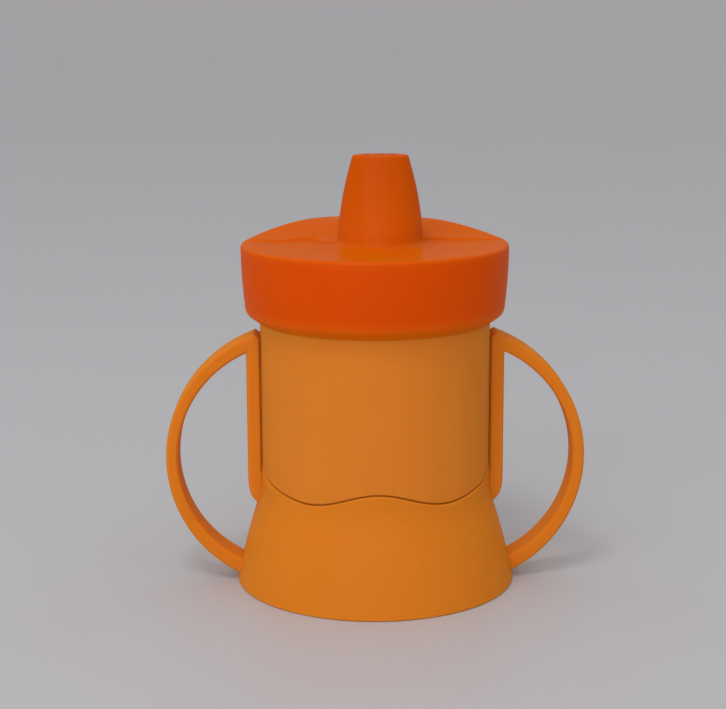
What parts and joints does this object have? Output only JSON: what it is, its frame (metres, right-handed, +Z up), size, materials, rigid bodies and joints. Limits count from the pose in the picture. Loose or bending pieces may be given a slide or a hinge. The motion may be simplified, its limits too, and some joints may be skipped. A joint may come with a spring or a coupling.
{
  "type": "sippy cup",
  "caption": "Child's training beaker: round tumbler seated in a flared holder with loop handles, under a push-on lid with a tapered drinking spout.",
  "frame": {"origin": "centre of the holder's bottom rim, on the surface that the cup stands on", "axes": "+Z up along the tumbler's axis, X through both handles, -Y towards the front that the wavy seam crosses"},
  "size_m": [0.1344, 0.0898, 0.1376],
  "materials": {
    "holder_plastic": "satin moulded polypropylene, light orange",
    "tumbler_plastic": "satin moulded polypropylene, light orange",
    "lid_plastic": "glossy, slightly translucent soft plastic, deep orange"
  },
  "bodies": {
    "holder": {"holder_skirt": "holder_plastic", "holder_floor": "holder_plastic", "holder_collar": "holder_plastic", "right_handle": "holder_plastic", "left_handle": "holder_plastic"},
    "tumbler": {"tumbler_floor": "tumbler_plastic", "tumbler_heel": "tumbler_plastic", "tumbler_foot": "tumbler_plastic", "tumbler_barrel": "tumbler_plastic"},
    "lid": {"lid_rim": "lid_plastic", "lid": "lid_plastic", "spout_root": "lid_plastic", "spout": "lid_plastic"}
  },
  "joints": [
    {"name": "tumbler_lift", "type": "slide", "parent": "holder", "child": "tumbler", "axis": [0, 0, 1], "range_m": [0, 0.065]},
    {"name": "lid_lift", "type": "slide", "parent": "tumbler", "child": "lid", "axis": [0, 0, 1], "range_m": [0, 0.03]}
  ]
}
